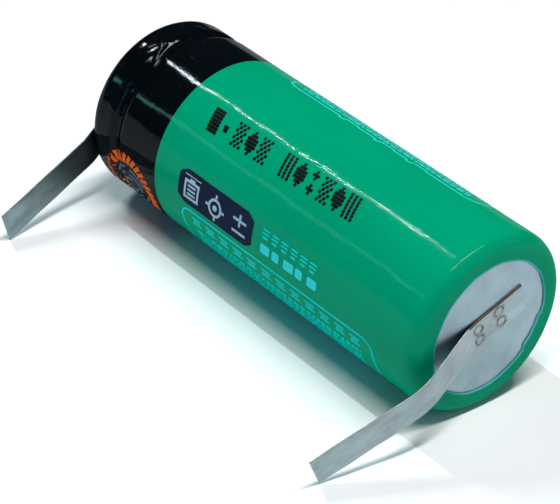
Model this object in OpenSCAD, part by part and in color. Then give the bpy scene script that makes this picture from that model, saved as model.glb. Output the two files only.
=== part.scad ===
/* Crimp-sealed, spiral-wound cylindrical lithium cell with a shrink sleeve and two solder tabs.
   The axis of the cell lies along X, with the positive end at -X and the negative end at +X.
   Z is up, and the cell lies on its barrel and on the lower corners of its two tab tips.
   The origin is on the axis, halfway between the sleeve's two ends.
   A station is a distance along the axis from the sleeve's positive end. */

/* [Cell] */
// Outer diameter over the sleeve
body_d = 17; // [14:0.1:20.4]
// Length over the sleeve, without the button and the tabs
body_l = 45; // [37.5:0.5:65]

/* [Sleeve] */
// Film thickness of the shrink sleeve
sleeve_t = 0.1; // [0.06:0.01:0.15]
// Outer rounding where the sleeve turns over the positive end
sleeve_round_pos = 1.5; // [1.3:0.1:1.8]
// Outer rounding where the sleeve turns over the negative end
sleeve_round_neg = 1.3; // [1.1:0.1:1.6]
// How far the sleeve sags into the bead groove
sleeve_sag = 0.4; // [0.1:0.05:0.6]
// Width of the sleeve's turned-over ring on the positive end, inside its rounding
sleeve_ring_pos = 1.7; // [1:0.1:2]
// Width of the sleeve's turned-over ring on the negative end, inside its rounding
sleeve_ring_neg = 0.95; // [0.5:0.05:1.5]

/* [Can] */
// Wall and base thickness of the steel can
can_t = 0.3; // [0.2:0.05:0.36]
// Depth of the bead groove in the can
bead_depth = 1.2; // [0.8:0.1:1.4]
// Half the width of the bead groove on the outside of the can
bead_half_w = 1.05; // [0.9:0.05:1.25]
// Width of the crimped lip, inside its rounding
lip_w = 1; // [0.6:0.1:1.4]

/* [Seal and top stack] */
// Thickness of the fibre washer under the sleeve
washer_t = 0.2; // [0.1:0.05:0.25]
// Thickness of the gasket under the lip and over the bead
gasket_t = 0.4; // [0.3:0.05:0.45]
// Thickness of the steel cap
cap_t = 0.3; // [0.2:0.05:0.35]
// How far the button stands proud of the sleeve
button_h = 0.6; // [0.4:0.1:1]
// Radius of the button's flat top
button_r = 3.3; // [2.8:0.1:3.6]
// Thickness of the resettable current limiter
ptc_t = 0.3; // [0.2:0.05:0.35]
// Thickness of the vent disc
vent_t = 0.2; // [0.15:0.05:0.3]
// Thickness of the insulating spacer ring
spacer_t = 0.3; // [0.2:0.05:0.35]
// Thickness of the contact plate
plate_t = 0.3; // [0.2:0.05:0.35]

/* [Electrode roll] */
// Thickness of one separator
separator_t = 0.05; // [0.03:0.01:0.06]
// Thickness of one cathode coat
coat_t = 0.24; // [0.2:0.01:0.29]
// Thickness of the cathode's metal collector
collector_t = 0.07; // [0.05:0.01:0.1]
// Thickness of the lithium anode
anode_t = 0.2; // [0.15:0.01:0.24]
// Radius of the open core of the roll
core_r = 1.9; // [1.8:0.1:2.3]
// Thickness of the insulating discs above and below the roll
insulator_t = 0.3; // [0.2:0.05:0.35]
// Thickness of the adhesive tapes
tape_t = 0.05; // [0.03:0.01:0.06]

/* [Solder tabs] */
// Width of both solder tabs
tab_w = 3; // [2.4:0.1:3.6]
// Thickness of both solder tabs
tab_t = 0.15; // [0.1:0.01:0.18]
// Reach of the negative tab from the axis
neg_tab_reach = 19.8; // [16:0.1:24]
// Height of the negative tab's bow over the base
neg_tab_bow = 1.85; // [1.2:0.05:2.5]
// Reach of the positive tab from the axis
pos_tab_reach = 20.2; // [16:0.1:24]
// Station of the positive tab's tip, behind the positive end
pos_tab_lean = 2.3; // [1.8:0.1:3]

/* [Hidden] */
round_fn = 96;
arc_steps = 8;
dip_steps = 12;

// Clearance between pieces that are pushed into each other
slip = 0.02;
// Clearance between the wound layers
wind_gap = 0.0125;

// Radii of the sleeve and the can
sleeve_r = body_d / 2;
can_r = sleeve_r - sleeve_t;
can_bore_r = can_r - can_t;

// Stations of the can's lip and base
lip_front = sleeve_t + washer_t;
lip_back = lip_front + can_t;
base_back = body_l - sleeve_t;
base_front = base_back - can_t;
shoulder = sleeve_round_pos;
shoulder_r = sleeve_r - sleeve_round_pos;
can_round_pos = shoulder - lip_front;
can_round_neg = sleeve_round_neg - sleeve_t;
lip_r = can_r - can_round_pos - lip_w;

// Stack inside the gasket, from the cap down
gasket_wall = 0.45;
gasket_r = can_bore_r - slip;
stack_r = gasket_r - gasket_wall;
disc_r = stack_r - slip;
gasket_lip_r = lip_r - 0.2;
cap_station = lip_back + gasket_t;
ptc_station = cap_station + cap_t;
vent_station = ptc_station + ptc_t;
spacer_station = vent_station + vent_t;
plate_station = spacer_station + spacer_t;
ledge_station = plate_station + plate_t;
ledge_r = stack_r - 1.4;

// The bead starts where the gasket's ledge ends
bead_inner_half_w = bead_half_w + 0.2;
bead_first = ledge_station + gasket_t;
bead_station = bead_first + bead_inner_half_w;
bead_last = bead_station + bead_inner_half_w;
sag_half_w = bead_half_w - 0.05;

// Details of the stack's pieces
button_foot_r = button_r + 0.9;
vent_hole_r = 0.4;
vent_holes = 4;
drill_h = 2;
ptc_hole_r = button_foot_r + 0.2;
spacer_hole_r = disc_r - 2.4;
dimple_r = 1.6;
score_r = 3.5;
score_w = 0.2;
score_depth = 0.08;
plate_hole_r = 0.7;
plate_hole_circle_r = 4;
plate_holes = 6;
washer_hole_r = button_foot_r + 0.3;

// Roll between the two insulating discs
upper_station = bead_last + 0.05;
roll_top = upper_station + insulator_t + 0.1;
inner_tab_t = 0.1;
inner_tab_w = 3;
lower_station = base_front - inner_tab_t - insulator_t;
roll_base = lower_station - 0.1;
anode_inset = 0.5;
cathode_inset = 0.8;
tab_channel = 0.33;
roll_limit_r = can_bore_r - tab_channel;

// Radial place of each wound layer, outward from the first separator
coat_in_at = separator_t + wind_gap;
collector_at = coat_in_at + coat_t;
coat_out_at = collector_at + collector_t;
separator_out_at = coat_out_at + coat_t + wind_gap;
anode_at = separator_out_at + separator_t + wind_gap;
pitch = anode_at + anode_t + wind_gap;
wind_step = 15;
wind_end = wind_step * floor((roll_limit_r - core_r - pitch) / pitch * 360 / wind_step);
separator_from = 4 * wind_step;
separator_to = wind_end - wind_step;
coat_from = 5 * wind_step;
cathode_to = wind_end - 2 * wind_step;
anode_from = 6 * wind_step;
tape_span = 300;
tape_gap = 30;

// Inner tabs: the anode's runs down beside the roll, the cathode's stands in the core
anode_tab_r = can_bore_r - 0.2;
anode_tab_l = 14;
anode_tab_top = roll_base - anode_tab_l;
anode_tab_bend = 1;
anode_tab_angle = 22;
anode_tab_end_angle = 4;
anode_tab_from = wind_end - anode_tab_end_angle - anode_tab_angle;
anode_tab_mid = anode_tab_from + anode_tab_angle / 2;
anode_tab_inner_end = 0.5;
anode_tape_side_angle = 4;
anode_tape_top_gap = 1;
anode_tape_l = anode_tab_l - 3;
core_tab_w = 1.6;
core_tab_corner_r = core_r + collector_at - slip;
core_tab_place = sqrt(pow(core_tab_corner_r, 2) - pow(core_tab_w / 2, 2)) - inner_tab_t;
core_tab_mid = 22.5;
core_tab_l = 9;
core_tab_foot = roll_top + core_tab_l;
core_tab_fold = 3.6;
core_tab_drop = 0.4;
core_tab_weld_end = 1.2;
core_tab_bend = 0.35;
core_tape_top = roll_top + 0.5;
core_tape_w = core_tab_w + 0.4;
lower_r = anode_tab_r - anode_tab_bend - 0.1;
upper_hole_r = core_r + collector_at + 0.2;
fill_hole_r = 0.8;
fill_holes = 4;
fill_circle_r = 5;

// Solder tabs: offset of each tab's centre line above the axis, and its welded length
neg_tab_offset = 0.37;
pos_tab_offset = 0.62;
neg_tab_inner_end = -4;
neg_tab_bend = 1.4;
neg_tab_lift = 1.8;
neg_tab_crest = 8.8;
neg_tab_tip_h = 0.3;
pos_tab_bend = 0.7;
pos_tab_inner_end = -3;
pos_tab_lift = button_r + pos_tab_bend + 0.05;
sleeve_clear = 0.05;
pos_tab_edge = sleeve_r - sleeve_round_pos + 0.3;
pos_tab_past = sleeve_r + 0.5;
pos_tab_past_station = 0.6;
weld_pit_r = 0.4;
weld_pit_depth = 0.04;
weld_pitch = 1.2;
weld_places = [-1.17, 1.33];
tip_clear = 0.03;
neg_tab_angle = tip_angle(neg_tab_reach, tab_w / 2 - neg_tab_offset);
pos_tab_angle = tip_angle(pos_tab_reach, tab_w / 2 - pos_tab_offset);

// Angle below the horizontal at which a tab's lower tip corner is level with the barrel's underside
function tip_angle(reach, below) =
    asin((sleeve_r - tip_clear) / norm([reach, below])) - atan2(below, reach);

// Points of a circular arc
function arc(centre, r, from, to) =
    [for (i = [0:arc_steps])
        let (a = from + (to - from) * i / arc_steps)
        centre + r * [cos(a), sin(a)]];

// Depth of a smooth dip of a given half width, at a distance from its middle
function dip(depth, half_w, distance) = depth * (1 + cos(180 * distance / half_w)) / 2;

// Points along a barrel of radius r that dips at the bead
function dip_points(r, depth, half_w) =
    [for (i = [-dip_steps:dip_steps])
        let (distance = half_w * i / dip_steps)
        [r - dip(depth, half_w, distance), bead_station + distance]];

function reversed(points) = [for (i = [len(points) - 1:-1:0]) points[i]];

// A path with each inner corner turned into a soft bend
function bent(points, reach) =
    [for (i = [0:len(points) - 1])
        let (here = points[i])
        each (i == 0 || i == len(points) - 1) ? [here]
            : let (before = here + reach * unit(points[i - 1] - here),
                   after = here + reach * unit(points[i + 1] - here))
              [for (k = [0:arc_steps])
                  let (t = k / arc_steps)
                  (1 - t) * (1 - t) * before + 2 * t * (1 - t) * here + t * t * after]];

function unit(v) = v / norm(v);

// Direction across a path at one of its points
function across(points, i) =
    let (last = len(points) - 1,
         d = unit(points[min(i + 1, last)] - points[max(i - 1, 0)]))
    [-d[1], d[0]];

// Outline of a strip of thickness t that lies on the left side of a path
function ribbon(points, t) =
    concat(points,
           reversed([for (i = [0:len(points) - 1]) points[i] + t * across(points, i)]));

// Radius of the wound spiral at an angle
function spiral_r(angle) = core_r + pitch * angle / 360;

// Outline of one wound layer between two angles
function spiral_side(at, from, to) =
    [for (a = [from:wind_step:to]) (spiral_r(a) + at) * [cos(a), sin(a)]];

function layer(at, t, from, to) =
    concat(spiral_side(at, from, to), reversed(spiral_side(at + t, from, to)));

// Puts a shape that was built along Z onto the cell's axis, with Z as the station
module on_axis() {
    translate([-body_l / 2, 0, 0])
        rotate([0, 90, 0])
            children();
}

module turned(points) {
    on_axis()
        rotate_extrude($fn = round_fn)
            polygon(points);
}

module disc(station, t, r, hole_r = 0) {
    on_axis()
        translate([0, 0, station])
            difference() {
                cylinder(h = t, r = r, $fn = round_fn);
                if (hole_r > 0) {
                    translate([0, 0, -t])
                        cylinder(h = 3 * t, r = hole_r, $fn = round_fn);
                }
            }
}

// Strip metal bent along a path of (reach, station) points, and turned about the axis
module strip(points, t, w, angle, offset = 0) {
    translate([-body_l / 2, 0, 0])
        rotate([angle, 0, 0])
            rotate([0, 0, -90])
                translate([0, 0, offset - w / 2])
                    linear_extrude(height = w)
                        polygon(ribbon(points, t));
}

module wound(at, t, from, to, inset) {
    on_axis()
        translate([0, 0, roll_top + inset])
            linear_extrude(height = roll_base - roll_top - 2 * inset)
                polygon(layer(at, t, from, to));
}

module ring_of_holes(count, circle_r, hole_r, station, depth) {
    for (i = [0:count - 1]) {
        on_axis()
            rotate([0, 0, 360 * i / count])
                translate([circle_r, 0, station - depth])
                    cylinder(h = 3 * depth, r = hole_r, $fn = 32);
    }
}

// Printed heat-shrink film, turned over both ends of the cell
module shrink_sleeve() {
    neg_round_at = [sleeve_r - sleeve_round_neg, body_l - sleeve_round_neg];
    pos_round_at = [shoulder_r, shoulder];
    outer = concat(
        [[shoulder_r - sleeve_ring_pos, 0]],
        arc(pos_round_at, sleeve_round_pos, -90, 0),
        dip_points(sleeve_r, sleeve_sag, sag_half_w),
        arc(neg_round_at, sleeve_round_neg, 0, 90),
        [[neg_round_at[0] - sleeve_ring_neg, body_l]]);
    inner = concat(
        [[shoulder_r - sleeve_ring_pos, sleeve_t]],
        arc(pos_round_at, sleeve_round_pos - sleeve_t, -90, 0),
        dip_points(sleeve_r - sleeve_t, sleeve_sag, sag_half_w),
        arc(neg_round_at, sleeve_round_neg - sleeve_t, 0, 90),
        [[neg_round_at[0] - sleeve_ring_neg, body_l - sleeve_t]]);
    color("seagreen")
        turned(concat(outer, reversed(inner)));
}

// Drawn steel can: the negative terminal, with its bead and its crimped lip
module can() {
    lip_round_at = [can_r - can_round_pos, shoulder];
    base_round_at = [can_r - can_round_neg, base_back - can_round_neg];
    outer = concat(
        [[lip_r, lip_front]],
        arc(lip_round_at, can_round_pos, -90, 0),
        dip_points(can_r, bead_depth, bead_half_w),
        arc(base_round_at, can_round_neg, 0, 90),
        [[0, base_back]]);
    inner = concat(
        [[lip_r, lip_back]],
        arc(lip_round_at, can_round_pos - can_t, -90, 0),
        dip_points(can_bore_r, bead_depth, bead_inner_half_w),
        arc(base_round_at, can_round_neg - can_t, 0, 90),
        [[0, base_front]]);
    color("lightsteelblue")
        turned(concat(outer, reversed(inner)));
}

// Nickel strip welded to the can's base, bowed clear of the sleeve's edge
module negative_tab() {
    path = bent([[neg_tab_inner_end, base_back],
                 [neg_tab_lift, base_back],
                 [neg_tab_crest, base_back + neg_tab_bow],
                 [neg_tab_reach, base_back + neg_tab_tip_h]], neg_tab_bend);
    color("silver")
        difference() {
            strip(path, tab_t, tab_w, neg_tab_angle, neg_tab_offset);
            for (place = weld_places, side = [-1, 1]) {
                rotate([neg_tab_angle, 0, 0])
                    translate([base_back + tab_t - weld_pit_depth - body_l / 2,
                               -place,
                               neg_tab_offset + side * weld_pitch / 2])
                        rotate([0, 90, 0])
                            cylinder(h = drill_h, r = weld_pit_r, $fn = 24);
            }
        }
}

// Nickel strip welded to the button, bent back over the shoulder of the cell
module positive_tab() {
    path = bent([[pos_tab_inner_end, -button_h],
                 [pos_tab_lift, -button_h],
                 [pos_tab_edge, -sleeve_clear],
                 [pos_tab_past, pos_tab_past_station],
                 [pos_tab_reach, pos_tab_lean]], pos_tab_bend);
    color("silver")
        strip(reversed(path), tab_t, tab_w, pos_tab_angle, pos_tab_offset);
}

// Fibre washer between the crimped lip and the sleeve
module positive_washer() {
    color("ivory")
        disc(sleeve_t, washer_t, shoulder_r - slip, washer_hole_r);
}

// Pressed steel cap with its raised button and the vent holes in the button's wall
module top_cap() {
    color("silver")
        difference() {
            turned([[0, -button_h],
                    [button_r, -button_h],
                    [button_foot_r, cap_station],
                    [stack_r - slip, cap_station],
                    [stack_r - slip, cap_station + cap_t],
                    [button_foot_r - cap_t, cap_station + cap_t],
                    [button_r - cap_t, cap_t - button_h],
                    [0, cap_t - button_h]]);
            for (i = [0:vent_holes - 1]) {
                on_axis()
                    translate([0, 0, (cap_station - button_h) / 2])
                        rotate([0, 90, 45 + 360 * i / vent_holes])
                            translate([0, 0, button_r - 2 * cap_t])
                                cylinder(h = drill_h, r = vent_hole_r, $fn = 32);
            }
        }
}

// Resettable current limiter under the cap
module ptc_ring() {
    color("dimgray")
        disc(ptc_station, ptc_t, disc_r, ptc_hole_r);
}

// Safety vent: a scored diaphragm whose dimple is welded to the contact plate
module vent_disc() {
    color("gainsboro")
        difference() {
            union() {
                disc(vent_station, vent_t, disc_r);
                disc(vent_station, vent_t + spacer_t, dimple_r);
            }
            disc(vent_station - vent_t, vent_t + vent_t / 2, dimple_r - vent_t);
            disc(vent_station, score_depth, score_r + score_w, score_r);
        }
}

// Insulating ring that keeps the vent disc off the contact plate
module spacer_ring() {
    color("white")
        disc(spacer_station, spacer_t, disc_r, spacer_hole_r);
}

// Perforated plate that the cathode's tab is welded to
module contact_plate() {
    color("lightgray")
        difference() {
            disc(plate_station, plate_t, disc_r);
            ring_of_holes(plate_holes, plate_hole_circle_r, plate_hole_r, plate_station, plate_t);
        }
}

// Plastic gasket that insulates and seals the top stack in the can
module seal_gasket() {
    round_at = [can_r - can_round_pos, shoulder];
    outer = concat(
        [[gasket_lip_r, lip_back + slip]],
        arc(round_at, can_round_pos - can_t - slip, -90, 0),
        [[gasket_r, bead_first], [ledge_r, bead_first]]);
    inner = [[ledge_r, ledge_station],
             [stack_r, ledge_station],
             [stack_r, cap_station - slip],
             [gasket_lip_r, cap_station - slip]];
    color("aliceblue")
        turned(concat(outer, inner));
}

// Slit disc between the bead and the roll
module upper_insulator() {
    color("khaki")
        difference() {
            disc(upper_station, insulator_t, can_bore_r - slip, upper_hole_r);
            ring_of_holes(fill_holes, fill_circle_r, fill_hole_r, upper_station, insulator_t);
        }
}

// Disc between the roll and the folded anode tab
module lower_insulator() {
    color("khaki")
        disc(lower_station, insulator_t, lower_r);
}

module separator_inner() {
    color("whitesmoke")
        wound(0, separator_t, separator_from, separator_to, 0);
}

module cathode_coat_inner() {
    color("black")
        wound(coat_in_at, coat_t, coat_from, cathode_to, cathode_inset);
}

// Expanded metal strip between the two coats, bare at the core for the cathode's tab
module cathode_collector() {
    color("darkgray")
        wound(collector_at, collector_t, 0, cathode_to, cathode_inset);
}

module cathode_coat_outer() {
    color("black")
        wound(coat_out_at, coat_t, coat_from, cathode_to, cathode_inset);
}

module separator_outer() {
    color("whitesmoke")
        wound(separator_out_at, separator_t, separator_from, separator_to, 0);
}

// Lithium strip, the outermost layer of the roll
module anode_foil() {
    color("lightslategray")
        wound(anode_at, anode_t, anode_from, wind_end, anode_inset);
}

// Strip that runs down the outside of the roll and under it to the can's base
module anode_tab() {
    bend_at = [anode_tab_r - anode_tab_bend, base_front - anode_tab_bend];
    outer = concat([[anode_tab_r, anode_tab_top]], arc(bend_at, anode_tab_bend, 0, 90));
    inner = concat([[anode_tab_r - inner_tab_t, anode_tab_top]],
                   arc(bend_at, anode_tab_bend - inner_tab_t, 0, 90));
    color("silver")
        on_axis() {
            rotate([0, 0, anode_tab_from])
                rotate_extrude(angle = anode_tab_angle, $fn = round_fn)
                    polygon(concat(outer, reversed(inner)));
            rotate([0, 0, anode_tab_mid])
                translate([anode_tab_inner_end, -inner_tab_w / 2, base_front - inner_tab_t])
                    cube([bend_at[0] - anode_tab_inner_end, inner_tab_w, inner_tab_t]);
        }
}

// Insulating tape over the anode's tab, between it and the can
module anode_tab_tape() {
    color("goldenrod")
        on_axis()
            rotate([0, 0, anode_tab_from - anode_tape_side_angle])
                translate([0, 0, anode_tab_top + anode_tape_top_gap])
                    rotate_extrude(angle = anode_tab_angle + 2 * anode_tape_side_angle, $fn = round_fn)
                        translate([anode_tab_r + slip, 0])
                            square([tape_t, anode_tape_l]);
}

// Strip that stands in the core and folds up to the contact plate
module cathode_tab() {
    path = bent([[core_tab_place, core_tab_foot],
                 [core_tab_place, upper_station - 2 * core_tab_drop],
                 [-core_tab_fold, upper_station - 3 * core_tab_drop],
                 [-core_tab_fold, ledge_station],
                 [core_tab_weld_end, ledge_station]], core_tab_bend);
    color("silver")
        strip(path, inner_tab_t, core_tab_w, core_tab_mid + 90);
}

// Insulating tape on the open side of the cathode's tab
module cathode_tab_tape() {
    tape_at = core_tab_place - slip - tape_t;
    path = [[tape_at, core_tab_foot], [tape_at, core_tape_top]];
    color("goldenrod")
        strip(path, tape_t, core_tape_w, core_tab_mid + 90);
}

// Closing tape round the last turn of the roll
module winding_tape() {
    color("goldenrod")
        wound(pitch, tape_t, wind_end - tape_span - tape_gap, wind_end - tape_gap, anode_inset);
}

shrink_sleeve();
can();
negative_tab();
positive_tab();
positive_washer();
top_cap();
ptc_ring();
vent_disc();
spacer_ring();
contact_plate();
seal_gasket();
upper_insulator();
lower_insulator();
separator_inner();
cathode_coat_inner();
cathode_collector();
cathode_coat_outer();
separator_outer();
anode_foil();
anode_tab();
anode_tab_tape();
cathode_tab();
cathode_tab_tape();
winding_tape();
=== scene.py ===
import math

import bmesh
import bpy
import numpy as np
from mathutils import Matrix, Vector


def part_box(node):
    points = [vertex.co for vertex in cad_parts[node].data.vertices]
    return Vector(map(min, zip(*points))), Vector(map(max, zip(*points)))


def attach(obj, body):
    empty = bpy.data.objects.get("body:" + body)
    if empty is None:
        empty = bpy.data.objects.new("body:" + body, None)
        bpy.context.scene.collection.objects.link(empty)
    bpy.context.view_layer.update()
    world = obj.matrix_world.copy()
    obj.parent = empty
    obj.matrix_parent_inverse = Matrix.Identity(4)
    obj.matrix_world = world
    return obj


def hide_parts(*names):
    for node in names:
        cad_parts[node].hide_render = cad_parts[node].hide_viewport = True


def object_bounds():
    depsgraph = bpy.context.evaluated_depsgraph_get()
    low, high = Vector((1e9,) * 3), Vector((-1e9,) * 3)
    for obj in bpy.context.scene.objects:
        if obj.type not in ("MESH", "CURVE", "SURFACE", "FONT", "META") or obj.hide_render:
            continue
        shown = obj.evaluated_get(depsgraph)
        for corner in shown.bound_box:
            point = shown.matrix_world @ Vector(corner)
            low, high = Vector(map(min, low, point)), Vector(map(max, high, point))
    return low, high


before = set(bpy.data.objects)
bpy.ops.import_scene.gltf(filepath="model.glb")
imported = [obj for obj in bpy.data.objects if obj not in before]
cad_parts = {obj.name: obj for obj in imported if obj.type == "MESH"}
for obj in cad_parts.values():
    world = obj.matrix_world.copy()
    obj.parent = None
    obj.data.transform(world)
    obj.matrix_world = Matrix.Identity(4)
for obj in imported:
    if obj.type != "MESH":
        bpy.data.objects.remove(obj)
CAD_BOX = [[float(v) for v in corner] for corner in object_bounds()]

# Lengths below are in millimetres; the frame's are in metres.
# A station is a distance along the axis from the sleeve's positive end.
# An angle round the axis is taken from +Y, through +Z.
MM = 0.001
BODY = "root"
SLEEVE_LOW, SLEEVE_HIGH = [Vector(corner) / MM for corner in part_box("shrink_sleeve")]
POS_END = SLEEVE_LOW.x
BODY_L = SLEEVE_HIGH.x - SLEEVE_LOW.x
BODY_R = (SLEEVE_HIGH.y - SLEEVE_LOW.y) / 2
BASE_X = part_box("can")[1][0] / MM
CAP_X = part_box("top_cap")[0][0] / MM
FLOOR_Z = CAD_BOX[0][2] / MM

# Camera: its place, its heading from +X through +Y, how far it looks down, its roll and its lens
CAMERA_AT = Vector((124.61, -119.72, 104.50))
CAMERA_HEADING = 137.0
CAMERA_DOWN = 32.43
CAMERA_ROLL = 6.12
CAMERA_LENS = 146.0

# Shrink sleeve: its film, the roundings and openings of its ends, the groove, and the black band
FILM_T = 0.1
SHOULDER_ROUND = 1.5
BASE_ROUND = 1.3
FRONT_OPEN_R = 5.3
BASE_OPEN_R = 6.25
BEAD_AT = 4.05
BEAD_HALF_W = 1.0
BEAD_SAG = 0.4
BLACK_TO = 10.25

# Mesh of the sleeve: points round it, rows along an end ring, an end rounding and the black band,
# and the spacing of the rows along the green
ROUND_STEPS = 288
RING_ROWS = 7
ARC_ROWS = 13
BLACK_ROWS = 60
BARREL_STEP = 0.3

# Solder tabs: their strip, how far their tips clear the bench, and the welds, along and across the strip
TAB_W = 3.0
TAB_T = 0.15
TIP_CLEAR = 0.03
WELD_PLACES = ((-1.2, 0.6), (-1.25, -0.65), (1.25, 0.5), (1.3, -0.7))
WELD_R = 0.5


# ---------- node helpers ----------

# Numbers of the Mix node's colour sockets
MIX_A, MIX_B, MIX_RESULT = 6, 7, 2


def new_material(name):
    """A material, its node tree and its Principled shader."""
    mat = bpy.data.materials.new(name)
    mat.use_nodes = True
    return mat, mat.node_tree, mat.node_tree.nodes["Principled BSDF"]


def node(tree, kind, inputs=None, **settings):
    """A node with its settings made and its inputs linked or set."""
    made = tree.nodes.new(kind)
    for key, value in settings.items():
        setattr(made, key, value)
    for key, value in (inputs or {}).items():
        if isinstance(value, bpy.types.NodeSocket):
            tree.links.new(value, made.inputs[key])
        else:
            made.inputs[key].default_value = value
    return made


def object_mm(tree, scale=(1, 1, 1), turn=(0, 0, 0)):
    """Object coordinates in millimetres, turned and then stretched."""
    coords = node(tree, "ShaderNodeTexCoord").outputs["Object"]
    rotation = [math.radians(t) for t in turn]
    turned = node(tree, "ShaderNodeMapping", {"Vector": coords, "Rotation": rotation})
    stretch = [v / MM for v in scale]
    return node(tree, "ShaderNodeMapping", {"Vector": turned.outputs[0], "Scale": stretch}).outputs[0]


def noise(tree, scale, detail=3, roughness=0.5, turn=(0, 0, 0)):
    """Noise with its own frequency per millimetre along each axis."""
    made = node(tree, "ShaderNodeTexNoise", {"Vector": object_mm(tree, scale, turn), "Scale": 1.0,
                                             "Detail": detail, "Roughness": roughness})
    return made.outputs["Fac"]


def span(tree, value, low, high, to_low=0.0, to_high=1.0):
    """Maps low to high onto to_low to to_high, and holds values beyond."""
    made = node(tree, "ShaderNodeMapRange",
                {"Value": value, "From Min": low, "From Max": high, "To Min": to_low, "To Max": to_high})
    return made.outputs["Result"]


def math_node(tree, operation, a, b=0.0):
    return node(tree, "ShaderNodeMath", {0: a, 1: b}, operation=operation).outputs[0]


def mix_colour(tree, factor, a, b):
    a, b = [colour if isinstance(colour, bpy.types.NodeSocket) else (*colour, 1) for colour in (a, b)]
    made = node(tree, "ShaderNodeMix", {"Factor": factor, MIX_A: a, MIX_B: b}, data_type="RGBA")
    return made.outputs[MIX_RESULT]


def bump(tree, height, depth, under=None):
    """Relief of a depth in millimetres, over another relief if one is given."""
    inputs = {"Height": height, "Distance": depth * MM}
    if under is not None:
        inputs["Normal"] = under
    return node(tree, "ShaderNodeBump", inputs).outputs["Normal"]


# ---------- materials ----------

# Film: depths of its shaded ripples and pores, its scuffs, and the weights of the coat that gives its gloss
RIPPLE_DEPTH = 0.018
PORE_DEPTH = 0.0055
SCUFF_SHARE = 0.05
SCUFF_COLOUR = (0.35, 0.42, 0.46)
FILM_GLOSS = 0.09
BLACK_GLOSS = 0.22

# Colour, shade and roughness of the two films
GREEN_FILM = ((0.000, 0.300, 0.150), (0.000, 0.272, 0.134), 0.06)
BLACK_FILM = ((0.0010, 0.0018, 0.0028), (0.0016, 0.0028, 0.0042), 0.06)

# Relief of rolled or plated metal
GRAIN_DEPTH = 0.004

# Heat ring round a weld: distance from the weld's middle and strength, its fray, and its colour
HEAT_RING = ((0.34, 0.0), (0.43, 0.75), (0.50, 1.0), (0.57, 0.75), (0.66, 0.18), (0.80, 0.0))
HEAT_FRAY = 0.07
HEAT_COLOUR = (0.045, 0.026, 0.015)


def film_material(name, colour, shade, roughness, gloss=FILM_GLOSS):
    """Heat-shrunk film: soft lengthwise ripples, fine pores, scuffs and slight colour drift.

    Its gloss is a thin coat, which mirrors less at a slant than a glossy base does.
    """
    mat, tree, bsdf = new_material(name)
    ripples = noise(tree, (0.22, 0.9, 0.9), 3, 0.55)
    pores = noise(tree, (1.8, 4.0, 4.0), 3, 0.6)
    drift = noise(tree, (0.05, 0.2, 0.2), 2)
    scratch = noise(tree, (0.5, 6.0, 6.0), 4, 0.7, (0, 0, 6))
    worn = noise(tree, (0.3, 0.3, 0.3), 3)
    scuff = math_node(tree, "MULTIPLY", span(tree, scratch, 0.60, 0.72), span(tree, worn, 0.45, 0.65))
    clean = mix_colour(tree, span(tree, drift, 0.35, 0.65), colour, shade)
    scuffed = mix_colour(tree, math_node(tree, "MULTIPLY", scuff, SCUFF_SHARE), clean, SCUFF_COLOUR)
    tree.links.new(scuffed, bsdf.inputs["Base Color"])
    uneven = math_node(tree, "ADD", span(tree, pores, 0.3, 0.7, roughness * 0.8, roughness * 1.25),
                       math_node(tree, "MULTIPLY", scuff, 0.25))
    tree.links.new(uneven, bsdf.inputs["Roughness"])
    relief = bump(tree, pores, PORE_DEPTH, bump(tree, ripples, RIPPLE_DEPTH))
    for socket in ("Normal", "Coat Normal"):
        tree.links.new(relief, bsdf.inputs[socket])
    bsdf.inputs["Specular IOR Level"].default_value = 0.0
    bsdf.inputs["Coat Weight"].default_value = gloss
    bsdf.inputs["Coat Roughness"].default_value = roughness
    return mat


def metal_material(name, colour, stain, roughness, turn=(0, 0, 0), grain=(0.25, 6, 6)):
    """Plated or rolled metal with a directional grain, faint stains and uneven gloss."""
    mat, tree, bsdf = new_material(name)
    lines = noise(tree, grain, 4, 0.65, turn)
    blotch = noise(tree, (0.5, 0.5, 0.5), 4, 0.6, turn)
    stained = mix_colour(tree, span(tree, blotch, 0.42, 0.75), colour, stain)
    tree.links.new(stained, bsdf.inputs["Base Color"])
    uneven = math_node(tree, "ADD", span(tree, lines, 0.3, 0.7, -0.06, 0.06),
                       span(tree, blotch, 0.3, 0.7, roughness - 0.04, roughness + 0.06))
    tree.links.new(uneven, bsdf.inputs["Roughness"])
    tree.links.new(bump(tree, lines, GRAIN_DEPTH), bsdf.inputs["Normal"])
    bsdf.inputs["Metallic"].default_value = 1.0
    return mat


def sheet_material(name, colour, fleck, roughness, scale=3.0, depth=0.01):
    """Fibre, film, paper or pressed powder: a matt sheet with flecks and a fine tooth."""
    mat, tree, bsdf = new_material(name)
    tooth = noise(tree, (scale, scale, scale), 5, 0.7)
    cloud = noise(tree, (0.4, 0.4, 0.4), 2)
    tone = math_node(tree, "MULTIPLY", span(tree, tooth, 0.4, 0.7), span(tree, cloud, 0.3, 0.7, 0.3, 1.0))
    tree.links.new(mix_colour(tree, tone, colour, fleck), bsdf.inputs["Base Color"])
    tree.links.new(span(tree, tooth, 0.3, 0.7, roughness - 0.08, roughness + 0.08), bsdf.inputs["Roughness"])
    tree.links.new(bump(tree, tooth, depth), bsdf.inputs["Normal"])
    return mat


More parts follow.
